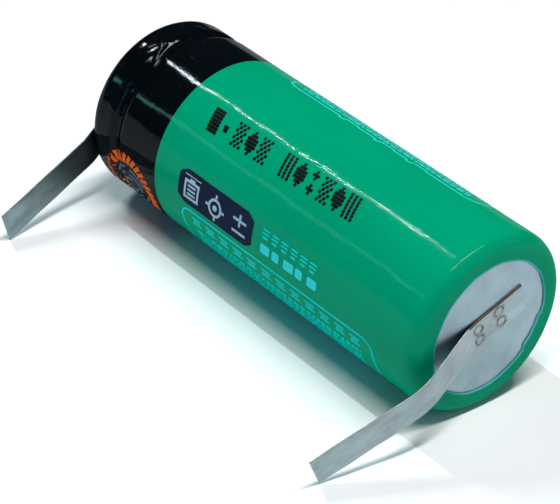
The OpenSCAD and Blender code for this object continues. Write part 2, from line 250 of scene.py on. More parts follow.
def weld_heat(tree, centres):
    """Strength of the heat ring round the nearest weld, frayed and patchy."""
    place = object_mm(tree)
    gaps = [node(tree, "ShaderNodeVectorMath", {0: place, 1: centre}, operation="DISTANCE").outputs["Value"]
            for centre in centres]
    nearest = gaps[0]
    for gap in gaps[1:]:
        nearest = math_node(tree, "MINIMUM", nearest, gap)
    fray = noise(tree, (2.6, 2.6, 2.6), 3, 0.6)
    frayed = math_node(tree, "ADD", nearest, span(tree, fray, 0.3, 0.7, -HEAT_FRAY, HEAT_FRAY))
    ring = node(tree, "ShaderNodeValToRGB", {"Fac": frayed})
    stops = ring.color_ramp.elements
    stops[0].position, stops[1].position = HEAT_RING[0][0], HEAT_RING[-1][0]
    stops[0].color = stops[1].color = (0, 0, 0, 1)
    for distance, strength in HEAT_RING[1:-1]:
        stops.new(distance).color = (strength, strength, strength, 1)
    return math_node(tree, "MULTIPLY", ring.outputs["Color"], span(tree, fray, 0.38, 0.58, 1.0, 0.45))


def welded_strip_material(name, angle, end_x, welds, offset, colour, smudged):
    """Nickel strip: lengthwise rolling lines, smudges, and brown heat rings round the welds."""
    mat, tree, bsdf = new_material(name)
    turn = (-angle, 0, 0)
    lines = noise(tree, (4, 0.12, 7), 4, 0.6, turn)
    smudge = noise(tree, (0.5, 0.35, 0.9), 4, 0.65, turn)
    plain = mix_colour(tree, span(tree, smudge, 0.4, 0.75), colour, smudged)
    centres = [tab_point(along, 0, across + offset, angle, end_x) for along, across in welds]
    tree.links.new(mix_colour(tree, weld_heat(tree, centres), plain, HEAT_COLOUR), bsdf.inputs["Base Color"])
    uneven = math_node(tree, "ADD", span(tree, lines, 0.3, 0.7, -0.05, 0.05),
                       span(tree, smudge, 0.3, 0.7, 0.30, 0.42))
    tree.links.new(uneven, bsdf.inputs["Roughness"])
    tree.links.new(bump(tree, lines, GRAIN_DEPTH), bsdf.inputs["Normal"])
    bsdf.inputs["Metallic"].default_value = 1.0
    return mat


# ---------- geometry helpers ----------

def around(station, angle, radius):
    """A point at a station, an angle in radians and a radius, in millimetres."""
    return (POS_END + station, radius * math.cos(angle), radius * math.sin(angle))


def tab_point(along, out, across, angle, end_x):
    """A point of a solder tab: along it, out from its terminal face, and across it."""
    turn = math.radians(angle)
    return (end_x + out,
            -along * math.cos(turn) - across * math.sin(turn),
            -along * math.sin(turn) + across * math.cos(turn))


def dip(distance, half_w, depth):
    """Depth of a smooth groove at distances from its middle."""
    inside = np.abs(distance) < half_w
    return np.where(inside, depth * (1 + np.cos(np.pi * distance / half_w)) / 2, 0.0)


def mesh_object(name, verts, faces, materials, face_slots=None, smooth=True):
    """An object in the scene, from points in millimetres."""
    mesh = bpy.data.meshes.new(name)
    mesh.from_pydata([Vector(v) * MM for v in verts], [], faces)
    for mat in materials:
        mesh.materials.append(mat)
    if face_slots is not None:
        mesh.polygons.foreach_set("material_index", face_slots)
    mesh.polygons.foreach_set("use_smooth", [smooth] * len(mesh.polygons))
    mesh.update()
    made = bpy.data.objects.new(name, mesh)
    bpy.context.scene.collection.objects.link(made)
    return made


def grid_faces(rows, columns, close_rows=False):
    """Quads of a grid of points that closes round its columns, and round its rows if asked."""
    faces = []
    for i in range(rows if close_rows else rows - 1):
        for j in range(columns):
            i2, j2 = (i + 1) % rows, (j + 1) % columns
            faces.append((i * columns + j, i2 * columns + j, i2 * columns + j2, i * columns + j2))
    return faces


def add_piece(piece, slot, *replaced):
    """Puts a piece on the body and hides the CAD nodes that it stands for; the slot is not used."""
    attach(piece, BODY)
    if replaced:
        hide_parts(*replaced)


# ---------- the sleeve ----------

# Creases of the film over the groove: station and angle in degrees of each end, and height
CREASES = (
    (2.2, 119.4, 3.15, 106.8, 0.14), (3.15, 106.8, 4.1, 125.1, 0.15), (4.45, 143.2, 4.75, 128.7, 0.11),
    (4.75, 128.7, 5.05, 115.4, 0.10), (3.0, 143.7, 3.6, 139.7, 0.11), (2.6, 160.0, 4.6, 166.0, 0.08),
    (2.4, 80.0, 4.4, 70.0, 0.11), (2.9, 30.0, 4.6, 41.0, 0.13), (2.3, -10.0, 4.3, -21.0, 0.10),
    (3.0, -65.0, 4.8, -56.0, 0.11), (2.5, -110.0, 4.5, -121.0, 0.11), (3.0, -150.0, 4.4, -158.0, 0.08),
)
CREASE_W = 0.12

# Film ripples: height of the two largest waves, and the sum of all four waves' heights in that unit
RIPPLE_HEIGHT = 0.004
RIPPLE_SUM = 3.3

# The tongue of longer film on the base: the angles of its two sides, the degrees over which each of them
# rises, and its length
TONGUE_FROM, TONGUE_TO = -40.0, -8.0
TONGUE_RISE, TONGUE_FALL = 1.5, 1.2
TONGUE_L = 0.30

# How far the film's cut edges bulge towards the axis, as a share of its thickness
CUT_EDGE_BULGE = 0.35

# Places of the sleeve's materials; the third is a painted highlight on the cut edge at the base
BLACK_SLOT, GREEN_SLOT, LIP_HIGHLIGHT_SLOT = range(3)


def crease_height(station, angle):
    """Height of the film's creases, at arrays of stations and of angles in radians."""
    total = np.zeros(np.broadcast(station, angle).shape)
    for s0, a0, s1, a1, height in CREASES:
        start = np.array((s0, math.radians(a0) * BODY_R))
        step = np.array((s1, math.radians(a1) * BODY_R)) - start
        turned = (np.degrees(angle) - a0 + 180) % 360 - 180 + a0
        dx, dy = station - start[0], np.radians(turned) * BODY_R - start[1]
        t = np.clip((dx * step[0] + dy * step[1]) / step.dot(step), 0, 1)
        gap = np.hypot(dx - t * step[0], dy - t * step[1])
        total = np.maximum(total, height * np.exp(-(gap / CREASE_W) ** 2))
    return total


def ripple(station, angle):
    """Slow unevenness of the shrunk film, always outward."""
    waves = (np.sin(7 * angle + 0.42 * station) + np.sin(11 * angle - 0.55 * station + 1.3)
             + 0.7 * np.sin(19 * angle + 0.9 * station + 2.1) + 0.6 * np.sin(3 * angle - 0.3 * station))
    return RIPPLE_HEIGHT * (waves + RIPPLE_SUM)


def barrel_radius(station, angle):
    """Outer radius of the film on the barrel."""
    sag = dip(station - BEAD_AT, BEAD_HALF_W, BEAD_SAG)
    return BODY_R - sag + ripple(station, angle) + crease_height(station, angle)


def sleeve_rows():
    """Points along the sleeve's outline: station, radius, and the outward direction at each."""
    rows = []
    for r in np.linspace(FRONT_OPEN_R, BODY_R - SHOULDER_ROUND, RING_ROWS)[:-1]:
        rows.append((0.0, r, -1.0, 0.0))
    for a in np.radians(np.linspace(-90, 0, ARC_ROWS)):
        rows.append((SHOULDER_ROUND * (1 + math.sin(a)),
                     BODY_R - SHOULDER_ROUND * (1 - math.cos(a)), math.sin(a), math.cos(a)))
    black = np.linspace(SHOULDER_ROUND, BLACK_TO, BLACK_ROWS)[1:]
    count = int((BODY_L - BASE_ROUND - BLACK_TO) / BARREL_STEP)
    green = np.linspace(BLACK_TO, BODY_L - BASE_ROUND, count)[1:-1]
    for s in (*black, *green):
        rows.append((s, BODY_R, 0.0, 1.0))
    for a in np.radians(np.linspace(0, 90, ARC_ROWS)):
        rows.append((BODY_L - BASE_ROUND * (1 - math.sin(a)),
                     BODY_R - BASE_ROUND * (1 - math.cos(a)), math.sin(a), math.cos(a)))
    for r in np.linspace(BODY_R - BASE_ROUND, BASE_OPEN_R, RING_ROWS)[1:]:
        rows.append((BODY_L, r, 1.0, 0.0))
    return np.array(rows)


def base_lip_shift(angle):
    """How far the film's edge on the base wanders in or out, with one tongue of longer film."""
    deg = (np.degrees(angle) + 180) % 360 - 180
    wander = 0.035 * np.sin(3 * angle + 1) + 0.02 * np.sin(13 * angle) + 0.012 * np.sin(37 * angle + 2)
    rise = np.clip((deg - TONGUE_FROM) / TONGUE_RISE, 0, 1)
    fall = np.clip((TONGUE_TO - deg) / TONGUE_FALL, 0, 1)
    return wander - TONGUE_L * np.minimum(rise, fall) * (1 + 0.12 * np.sin(29 * angle))


def sleeve_surface(rows, angle, depth):
    """Stations and radii of the film's surface, at a depth under its outer face."""
    station, radius, out_s, out_r = [rows[:, k:k + 1] for k in range(4)]
    sag = dip(station - BEAD_AT, BEAD_HALF_W, BEAD_SAG) * (out_r == 1.0)
    ring_r = BODY_R - BASE_ROUND
    on_base = (out_s == 1.0) & (radius < ring_r)
    share = np.where(on_base, (ring_r - radius) / (ring_r - BASE_OPEN_R), 0)
    lift = ripple(station, angle) + crease_height(station, angle) - depth
    return station + out_s * lift, radius - sag + share * base_lip_shift(angle) + out_r * lift


def sleeve_slots(rows, ring_count):
    """Material of each face: the black band, the green, and a painted highlight on the cut edge at the base.
    """
    on_barrel = rows[:, 3] == 1.0
    green_from = int(np.argmin(np.where(on_barrel, np.abs(rows[:, 0] - BLACK_TO), np.inf)))
    slots = []
    for i in range(ring_count):
        outer_row = i if i < len(rows) else ring_count - 2 - i
        if outer_row < green_from or i == ring_count - 1:
            slot = BLACK_SLOT
        elif len(rows) - 2 <= i <= len(rows):
            slot = LIP_HIGHLIGHT_SLOT
        else:
            slot = GREEN_SLOT
        slots += [slot] * ROUND_STEPS
    return slots


def make_sleeve():
    """The film as one closed shell: outer face, cut edge on the base, inner face, other cut edge."""
    rows = sleeve_rows()
    angle = np.linspace(0, 2 * np.pi, ROUND_STEPS, endpoint=False)[None, :]
    s_out, r_out = sleeve_surface(rows, angle, 0.0)
    s_in, r_in = sleeve_surface(rows, angle, FILM_T)
    s_edge, r_edge = s_out / 2 + s_in / 2, r_out - FILM_T * CUT_EDGE_BULGE
    stations = np.vstack([s_out, s_edge[-1:], s_in[::-1], s_edge[:1]])
    radii = np.vstack([r_out, r_edge[-1:], r_in[::-1], r_edge[:1]])
    places = np.stack([POS_END + stations, radii * np.cos(angle), radii * np.sin(angle)], axis=-1)
    faces = grid_faces(len(stations), ROUND_STEPS, close_rows=True)
    black = film_material("film_black", *BLACK_FILM, BLACK_GLOSS)
    green = film_material("film_green", *GREEN_FILM)
    # Pale cyan on the cut edge at the base and the film just beside it: a painted highlight along the lip
    edge_highlight = film_material("film_edge_painted_highlight", (0.10, 0.44, 0.44), (0.03, 0.34, 0.32), 0.25)
    sleeve = mesh_object("printed_sleeve", places.reshape(-1, 3).tolist(), faces, [black, green, edge_highlight],
                         sleeve_slots(rows, len(stations)))
    add_piece(sleeve, "sleeve_film", "shrink_sleeve")


# ---------- prints on the sleeve ----------

# A print is drawn flat: s is a station, and v a distance round the barrel that grows with the angle.

# Ink: longest face round the barrel, height over the film, and thickness
PRINT_CUT = 0.4
PRINT_LIFT = 0.012
PRINT_DEPTH = 0.03

# Widths of the lines of the signs and the panels, and the lengths and gaps of the small dashes
SIGN_STROKE = 0.25
PANEL_STROKE = 0.17
DASH_LENGTHS = (0.25, 0.8)
DASH_GAPS = (0.12, 0.3)


def rounded(s0, v0, s1, v1, corner, steps=4):
    """A rounded rectangle from its low corner to its high corner."""
    points = []
    centres = ((s1 - corner, v1 - corner, 0), (s0 + corner, v1 - corner, 90),
               (s0 + corner, v0 + corner, 180), (s1 - corner, v0 + corner, 270))
    for s, v, start in centres:
        for k in range(steps + 1):
            a = math.radians(start + 90 * k / steps)
            points.append((s + corner * math.cos(a), v + corner * math.sin(a)))
    return points


def on_circle(s, v, radius, angles):
    """Points at angles in radians round a point."""
    return [(s + radius * math.cos(a), v + radius * math.sin(a)) for a in angles]


def dot(s, v, radius, steps=10):
    """A round dot."""
    return on_circle(s, v, radius, [2 * math.pi * k / steps for k in range(steps)])


def line(points, width, closed=False):
    """Quads along a path of (station, arc) points, mitred at its corners."""
    points = [Vector(p) for p in points]
    count = len(points)
    sides = []
    for i, here in enumerate(points):
        before = points[i - 1] if (closed or i > 0) else here
        after = points[(i + 1) % count] if (closed or i < count - 1) else here
        d1 = (here - before).normalized() if here != before else (after - here).normalized()
        d2 = (after - here).normalized() if after != here else d1
        normal = Vector((-(d1.y + d2.y), d1.x + d2.x))
        normal.normalize()
        reach = width / 2 / max(0.5, normal.dot(Vector((-d1.y, d1.x))))
        sides.append((here + normal * reach, here - normal * reach))
    quads = []
    for i in range(count if closed else count - 1):
        (a, b), (c, d) = sides[i], sides[(i + 1) % count]
        quads.append([tuple(p) for p in (b, d, c, a)])
    return quads


def tick(s, v, length, width, degrees):
    """A short straight stroke centred on a point."""
    a = math.radians(degrees)
    half = Vector((math.cos(a), math.sin(a))) * length / 2
    return line([(s - half.x, v - half.y), (s + half.x, v + half.y)], width)


def make_print(name, shapes, material, layer=0):
    """Thin solid ink shapes on the barrel, from outlines in (station, arc length) millimetres."""
    work = bmesh.new()
    for shape in shapes:
        work.faces.new([work.verts.new((s, v, 0)) for s, v in shape])
    bmesh.ops.triangulate(work, faces=work.faces[:], ngon_method="EAR_CLIP")
    for axis, step in ((0, 3 * PRINT_CUT), (1, PRINT_CUT)):
        places = [vert.co[axis] for vert in work.verts]
        normal = Vector([1 if k == axis else 0 for k in range(3)])
        for k in range(math.floor(min(places) / step) + 1, math.ceil(max(places) / step)):
            bmesh.ops.bisect_plane(work, geom=work.verts[:] + work.edges[:] + work.faces[:],
                                   plane_co=normal * k * step, plane_no=normal, dist=1e-5)
    bmesh.ops.dissolve_degenerate(work, edges=work.edges[:], dist=1e-4)
    flat = np.array([vert.co[:2] for vert in work.verts])
    angle = flat[:, 1] / BODY_R
    radius = barrel_radius(flat[:, 0], angle) + PRINT_LIFT * (1 + 0.5 * layer)
    for vert, (s, _), a, r in zip(work.verts, flat, angle, radius):
        vert.co = Vector(around(s, a, r)) * MM
    work.normal_update()
    for face in work.faces:
        face.smooth = True
        centre = face.calc_center_median()
        if face.normal.dot(Vector((0, centre.y, centre.z))) < 0:
            face.normal_flip()
    for edge in work.edges:
        edge.smooth = not edge.is_boundary
    mesh = bpy.data.meshes.new(name)
    work.to_mesh(mesh)
    work.free()
    mesh.materials.append(material)
    made = bpy.data.objects.new(name, mesh)
    bpy.context.scene.collection.objects.link(made)
    thick = made.modifiers.new("ink", "SOLIDIFY")
    thick.thickness = PRINT_DEPTH * MM
    thick.offset = -1.0
    add_piece(made, "sleeve_film")


def arc_mm(degrees):
    """Distance round the barrel to an angle."""
    return math.radians(degrees) * BODY_R


# Symmetrical 5 by 7 dot patterns, none of them a letter or a figure
DOT_PATTERNS = {
    "block": ("#####", "#####", "#####", "#####", "#####", "#####", "#####"),
    "checks": ("#.#.#", ".#.#.", "#.#.#", ".#.#.", "#.#.#", ".#.#.", "#.#.#"),
    "diamond": ("..#..", ".###.", "#####", "#####", "#####", ".###.", "..#.."),
    "bars": ("#.#.#", "#.#.#", "#.#.#", "#.#.#", "#.#.#", "#.#.#", "#.#.#"),
    "crosses": ("..#..", ".###.", "..#..", ".....", "..#..", ".###.", "..#.."),
    "square": (".....", ".....", ".....", ".##..", ".##..", ".....", "....."),
    "space": (),
}
DOT_ROW = ("block", "square", "checks", "diamond", "checks", "space",
           "bars", "diamond", "crosses", "checks", "diamond", "bars")

# The row: stations of its two ends, angles of its top there, its height and lean, and its dots
DOT_ROW_ENDS = (13.9, 33.2)
DOT_ROW_TOP = (124.3, 120.9)
DOT_ROW_HEIGHT = 2.0
DOT_ROW_LEAN = 0.55
DOT_COLUMN_STEP = 0.25
DOT_R = 0.18


def dot_matrix_shapes():
    """One line of dot-matrix marks, a little skewed on the barrel."""
    start_s, end_s = DOT_ROW_ENDS
    advance = (end_s - start_s) / len(DOT_ROW)
    shapes = []
    for place, name in enumerate(DOT_ROW):
        rows = DOT_PATTERNS[name]
        for row, cells in enumerate(rows):
            down = row / (len(rows) - 1)
            for column, cell in enumerate(cells):
                if cell == "#":
                    s = start_s + place * advance + column * DOT_COLUMN_STEP + DOT_ROW_LEAN * down
                    top = np.interp(s, DOT_ROW_ENDS, DOT_ROW_TOP)
                    shapes.append(dot(s, arc_mm(top) + DOT_ROW_HEIGHT * down, DOT_R))
    return shapes


# The plate's first and last station and angle, its corners, and the scallops of its long sides
PLATE = (13.7, 24.1, 165.6, 185.8)
PLATE_CORNER = 0.4
SCALLOP = 0.36
SCALLOPS = 3
SCALLOP_STEPS = 36
SCALLOP_FULLNESS = 2.2


def plate_shapes():
    """A dark plate with a gently scalloped outline."""
    s0, s1, a0, a1 = PLATE
    v0, v1 = arc_mm(a0), arc_mm(a1)
    outline = rounded(s0, v0 + SCALLOP / 2, s1, v1 - SCALLOP / 2, PLATE_CORNER, 6)
    shaped = []
    for (s, v), (after, _) in zip(outline, outline[1:] + outline[:1]):
        shaped.append((s, v))
        if abs(after - s) > 2 * PLATE_CORNER:
            side = 1 if v > (v0 + v1) / 2 else -1
            for k in range(1, SCALLOP_STEPS):
                t = k / SCALLOP_STEPS
                bulge = SCALLOP * min(1.0, SCALLOP_FULLNESS * abs(math.sin(math.pi * SCALLOPS * t)))
                shaped.append((s + (after - s) * t, v + side * bulge))
    return [shaped]


def cell_sign(s, v):
    """A cell with its terminal and three level bars."""
    half_w, half_h = 0.9, 0.8
    corners = [(s - half_w, v - half_h), (s + half_w, v - half_h),
               (s + half_w, v + half_h), (s - half_w, v + half_h)]
    shapes = line(corners, SIGN_STROKE, closed=True)
    shapes += tick(s, v - half_h - 0.2, 0.7, SIGN_STROKE, 0)
    for level in (-0.4, 0.0, 0.4):
        shapes += tick(s, v + level, 1.1, 0.2, 0)
    return shapes


def target_sign(s, v):
    """A circle round a dot, with four short rays."""
    circle = np.linspace(0, 2 * np.pi, 32, endpoint=False)
    shapes = line(on_circle(s, v, 0.78, circle), SIGN_STROKE, closed=True)
    shapes.append(dot(s, v, 0.3, 14))
    turns = (0, 90, 180, 270)
    for turn, (ray_s, ray_v) in zip(turns, on_circle(s, v, 1.1, [math.radians(t) for t in turns])):
        shapes += tick(ray_s, ray_v, 0.34, SIGN_STROKE, turn)
    return shapes


def plus_minus_sign(s, v):
    """A plus over a minus."""
    shapes = tick(s, v - 0.5, 1.8, SIGN_STROKE, 0) + tick(s, v - 0.5, 1.2, SIGN_STROKE, 90)
    return shapes + tick(s, v + 0.7, 1.8, SIGN_STROKE, 0)


def plate_mark_shapes():
    """Three plain pale signs and a row of small dashes on the plate."""
    s0, s1, a0, a1 = PLATE
    top = arc_mm(a0)
    middle = (top + arc_mm(a1)) / 2 + 0.15
    shapes = cell_sign(s0 + 1.85, middle) + target_sign(s0 + 5.2, middle) + plus_minus_sign(s1 - 1.8, middle)
    for k in range(9):
        shapes += tick(s0 + 0.85 + 0.25 * k, top + 0.3, 0.15, 0.13, 0)
    return shapes


def caption_shapes():
    """A row of small cyan dash groups beside the plate."""
    shapes = []
    v = arc_mm(170.6)
    for k in range(6):
        s = 25.3 + 1.24 * k
        shapes += line([(s, v - 0.42), (s + 0.85, v - 0.42)], 0.14)
        shapes += line([(s, v - 0.08), (s + 0.85, v - 0.08)], 0.14)
        shapes += line([(s + 0.12, v + 0.3), (s + 0.73, v + 0.3)], 0.2)
    return shapes


def pale_caption_shapes():
    """A row of plain pale blocks under the dash groups."""
    shapes = []
    v = arc_mm(180.2)
    for k, length in enumerate((1.2, 0.9, 1.3, 0.9, 1.2)):
        s = 25.3 + 1.55 * k
        shapes.append(rounded(s, v - 0.5, s + length, v + 0.42, 0.18))
    return shapes


def tiny_rows(s0, s1, first_angle, rows, spacing, height, seed):
    """Rows of small dashes that stand for fine print."""
    dice = np.random.default_rng(seed)
    shapes = []
    for row in range(rows):
        v = arc_mm(first_angle) + spacing * row
        s = s0 + dice.uniform(0, 0.4)
        while s < s1:
            length = dice.uniform(*DASH_LENGTHS)
            if s + length > s1:
                break
            shapes += line([(s, v), (s + length, v)], height * dice.uniform(0.7, 1.0))
            s += length + dice.uniform(*DASH_GAPS)
    return shapes


def lower_panel_shapes():
    """The outlined panel under the plate, with a row of dash groups over rows of fine print."""
    top, bottom = arc_mm(191.0), arc_mm(266.0)
    s0, s1 = 14.1, 39.8
    corner = 1.1
    path = [(s0 + 1.2, bottom), (s0 + 0.6, bottom - 2), (s0, top + corner)]
    path += on_circle(s0 + corner, top + corner, corner, np.radians((200, 225, 250)))
    path += [(s0 + corner, top), (s1 - corner, top)]
    path += on_circle(s1 - corner, top + corner, corner, np.radians((290, 315, 340)))
    path += [(s1, top + corner), (s1, bottom - 1), (s1 - 1, bottom)]
    shapes = line(path, PANEL_STROKE, closed=True)
    v = top + 0.95
    for k in range(12):
        s = s0 + 1.5 + 1.95 * k
        shapes += line([(s, v - 0.3), (s + 1.2, v - 0.3)], 0.16)
        shapes += line([(s + 0.15, v + 0.02), (s + 1.05, v + 0.02)], 0.16)
        shapes += line([(s, v + 0.34), (s + 1.2, v + 0.34)], 0.16)
    return shapes + tiny_rows(s0 + 1.6, s1 - 1.2, 205.5, 14, 0.58, 0.32, 5)


def upper_panel_shapes():
    """The outlined panel beyond the top of the barrel, with three small steps in its edge."""
    low, high = arc_mm(73.6), arc_mm(-20.0)
    s0, s1 = 14.6, 39.3
    path = [(s0, high + 0.8), (s0, low - 1.2), (s0 + 0.35, low - 0.35), (s0 + 1.2, low)]
    for s in (22.3, 26.9, 31.0):
        path += [(s - 0.35, low), (s - 0.1, low + 0.28), (s + 0.25, low + 0.2), (s + 0.5, low - 0.16)]
        path += [(s + 1.9, low - 0.16), (s + 2.2, low)]
    path += [(s1 - 1.4, low), (s1 - 0.4, low - 0.4), (s1, low - 1.3), (s1, high + 0.8), (s1 - 0.8, high)]
    path += [(s0 + 0.8, high)]
    return line(path, PANEL_STROKE, closed=True) + tiny_rows(s0 + 1.4, s1 - 1.2, -12.0, 17, 0.74, 0.32, 11)


# The ring of strokes: station and angle of its centre, number of strokes, its half widths along and round
# the barrel, and the strokes' slant in degrees
RAY_CENTRE = (5.9, 208.5)
RAY_COUNT = 30
RAY_RING = (3.05, 3.15)
RAY_SLANT = 20

# Radius, start and sweep in degrees of each arc inside it
RAY_ARCS = ((2.15, 10, 70), (2.15, 100, 60), (2.15, 190, 70), (2.15, 280, 60),
            (1.45, 40, 90), (1.45, 160, 90), (1.45, 280, 90), (0.8, 0, 300))


def ray_shapes():
    """An open ring of short slanted orange strokes on the black band."""
    shapes = []
    centre_s, centre_v = RAY_CENTRE[0], arc_mm(RAY_CENTRE[1])
    for k in range(RAY_COUNT):
        a = 2 * math.pi * k / RAY_COUNT
        s, v = centre_s + RAY_RING[0] * math.cos(a), centre_v + RAY_RING[1] * math.sin(a)
        shapes += tick(s, v, 1.05, 0.42, math.degrees(a) + RAY_SLANT)
    return shapes


def ray_core_shapes():
    """Broken slate arcs inside the ring of strokes."""
    centre_s, centre_v = RAY_CENTRE[0], arc_mm(RAY_CENTRE[1])
    shapes = []
    for radius, start, sweep in RAY_ARCS:
        arc = np.radians(np.linspace(start, start + sweep, 12))
        shapes += line(on_circle(centre_s, centre_v, radius, arc), 0.24)
    return shapes


def make_prints():
    """All the ink on the sleeve."""
    ink_black = film_material("ink_black", (0.003, 0.004, 0.004), (0.006, 0.008, 0.008), 0.35)
    ink_navy = film_material("ink_navy", (0.006, 0.012, 0.034), (0.008, 0.016, 0.042), 0.15)
    ink_pale = film_material("ink_pale", (0.36, 0.50, 0.60), (0.30, 0.43, 0.53), 0.15)
    ink_cyan = film_material("ink_cyan", (0.002, 0.68, 0.64), (0.002, 0.60, 0.57), 0.15)
    ink_light = film_material("ink_light_cyan", (0.035, 0.68, 0.68), (0.03, 0.60, 0.60), 0.15)
    ink_orange = film_material("ink_orange", (0.95, 0.15, 0.012), (0.80, 0.11, 0.01), 0.15)
    ink_slate = film_material("ink_slate", (0.12, 0.17, 0.24), (0.10, 0.14, 0.20), 0.15)
    make_print("print_dot_matrix", dot_matrix_shapes(), ink_black)
    make_print("print_plate", plate_shapes(), ink_navy)
    make_print("print_plate_signs", plate_mark_shapes(), ink_pale, layer=1)
    make_print("print_caption", caption_shapes(), ink_cyan)
    make_print("print_caption_blocks", pale_caption_shapes(), ink_light)
    make_print("print_lower_panel", lower_panel_shapes(), ink_cyan)
    make_print("print_upper_panel", upper_panel_shapes(), ink_light)
    make_print("print_rays", ray_shapes(), ink_orange)
    make_print("print_ray_ring", ray_core_shapes(), ink_slate)


# ---------- solder tabs ----------

# Mesh of a strip: row spacing over the welds and how far past them it goes, rows beyond, and columns
WELD_ROW_STEP = 0.07
WELD_MARGIN = 0.9
FREE_ROWS = 110
STRIP_COLUMNS = 44

# Rounding of the long edges, as shares of the half width and the thickness
EDGE_SHARE = 0.045
EDGE_DROP = 0.35

# Electrode marks: depth and width of the pressed ring, and depth of the floor inside it
MARK_DEPTH = 0.028
MARK_W = 0.07
MARK_FLOOR = 0.010

# Columns of a dark margin along one long edge beside the welds: painted shade along the tab's edge
SHADED_MARGIN_COLUMNS = 5

# The tip's shear cut slants the strip's end: where that starts and how long it is, as shares of the length
TIP_FROM, TIP_SHARE = 0.9, 0.1

# Height at the tip of the strip's slight waves
WAVE_HEIGHT = 0.02


def soft_path(points, reach, steps=10):
    """A path whose inner corners are soft bends that start and end a reach from each corner."""
    points = [Vector(p) for p in points]
    made = [points[0]]
    for before, here, after in zip(points, points[1:], points[2:]):
        start = here + (before - here).normalized() * reach
        end = here + (after - here).normalized() * reach
        for k in range(steps + 1):
            t = k / steps
            made.append(start * (1 - t) ** 2 + here * 2 * t * (1 - t) + end * t * t)
    return made + [points[-1]]


def along_path(points, places):
    """Point and left-hand normal of a path at each distance from the axis."""
    reaches = [p.x for p in points]
    heights = np.interp(places, reaches, [p.y for p in points])
    slopes = np.gradient(heights, places)
    return [(Vector((a, b)), Vector((-m, 1)).normalized()) for a, b, m in zip(places, heights, slopes)]


def weld_relief(along, across, welds):
    """Depth of the electrode marks: a pressed ring round a shallow floor."""
    total = 0.0
    for a, w in welds:
        gap = math.hypot(along - a, across - w)
        total -= MARK_DEPTH * math.exp(-((gap - WELD_R) / MARK_W) ** 2)
        total -= MARK_FLOOR * math.exp(-(gap / (WELD_R * 0.8)) ** 4)
    return total


def strip_ring():
    """Places across a strip, over its outer face and back under it: (across, is outer)."""
    spread = [-1 + EDGE_SHARE * (1 - math.cos(t)) for t in (0.0, 0.8)]
    flat = np.linspace(-1 + EDGE_SHARE, 1 - EDGE_SHARE, STRIP_COLUMNS)
    across = np.concatenate([spread, flat, [-v for v in reversed(spread)]]) * TAB_W / 2
    return [(w, True) for w in across] + [(w, False) for w in across[::-1]]


def strip_faces(rows, count):
    """Faces of a strip with a ring of count points in each row, and a cap at each end."""
    faces = grid_faces(rows, count)
    for row in (0, rows - 1):
        base = row * count
        for j in range(count // 2 - 1):
            a, b = base + j, base + j + 1
            c, d = base + count - 2 - j, base + count - 1 - j
            faces.append((a, b, c, d) if row == 0 else (d, c, b, a))
    return faces


def strip_slots(faces, count, welded_rows):
    """Material of each face: 1, dark painted shade, on the sheared edges and a margin along one long edge
    beside the welds; 0 elsewhere.
    """
    half = count // 2
    slots = []
    for face in faces:
        columns = {v % count for v in face}
        on_edge = {0, count - 1} <= columns or {half - 1, half} <= columns
        on_margin = all(half - SHADED_MARGIN_COLUMNS <= c < half for c in columns)
        is_welded = max(face) // count < welded_rows
        slots.append(1 if on_edge or (on_margin and is_welded) else 0)
    return slots


def make_tab(name, path, side, angle, offset, end_x, welds, skew, material, replaced):
    """A strip of rolled nickel, with soft long edges and a slightly skewed shear cut at its tip."""
    first, last = path[0].x, path[-1].x
    fine = np.arange(first, max(a for a, _ in welds) + WELD_MARGIN, WELD_ROW_STEP)
    places = np.concatenate([fine, np.linspace(fine[-1] + WELD_ROW_STEP, last, FREE_ROWS)])
    ring = strip_ring()
    flat_w, edge_w = TAB_W / 2 * (1 - EDGE_SHARE), TAB_W / 2 * EDGE_SHARE
    verts = []
    for place, (point, normal) in zip(places, along_path(path, places)):
        share = (place - first) / (last - first)
        for w, is_outer in ring:
            slant = skew * w * max(0.0, share - TIP_FROM) / TIP_SHARE
            into_edge = max(0.0, (abs(w) - flat_w) / edge_w)
            drop = EDGE_DROP * TAB_T * into_edge ** 2
            height = TAB_T - drop + weld_relief(place, w, welds) if is_outer else drop
            wave = WAVE_HEIGHT * share * math.sin(1.3 * place + 0.8 * w)
            spot = point + normal * side * (height + wave)
            verts.append(tab_point(spot.x + slant, spot.y, w + offset, angle, end_x))
    faces = strip_faces(len(places), len(ring))
    # Dark brown on the sheared edges and the margin beside the welds: painted shade along the tab's edges
    edge = metal_material(name + "_edge", (0.10, 0.075, 0.05), (0.05, 0.035, 0.02), 0.4)
    piece = mesh_object(name, verts, faces, [material, edge], strip_slots(faces, len(ring), len(fine)))
    repair_normals(piece)
    add_piece(piece, "tab_nickel", replaced)


def repair_normals(piece):
    """Turns all faces outward."""
    work = bmesh.new()
    work.from_mesh(piece.data)
    bmesh.ops.recalc_face_normals(work, faces=work.faces[:])
    work.to_mesh(piece.data)
    work.free()


def resting_angle(reach, below):
    """Angle below the horizontal at which a tab's lower tip corner meets the resting plane."""
    return math.degrees(math.asin((BODY_R - TIP_CLEAR) / math.hypot(reach, below)) - math.atan2(below, reach))


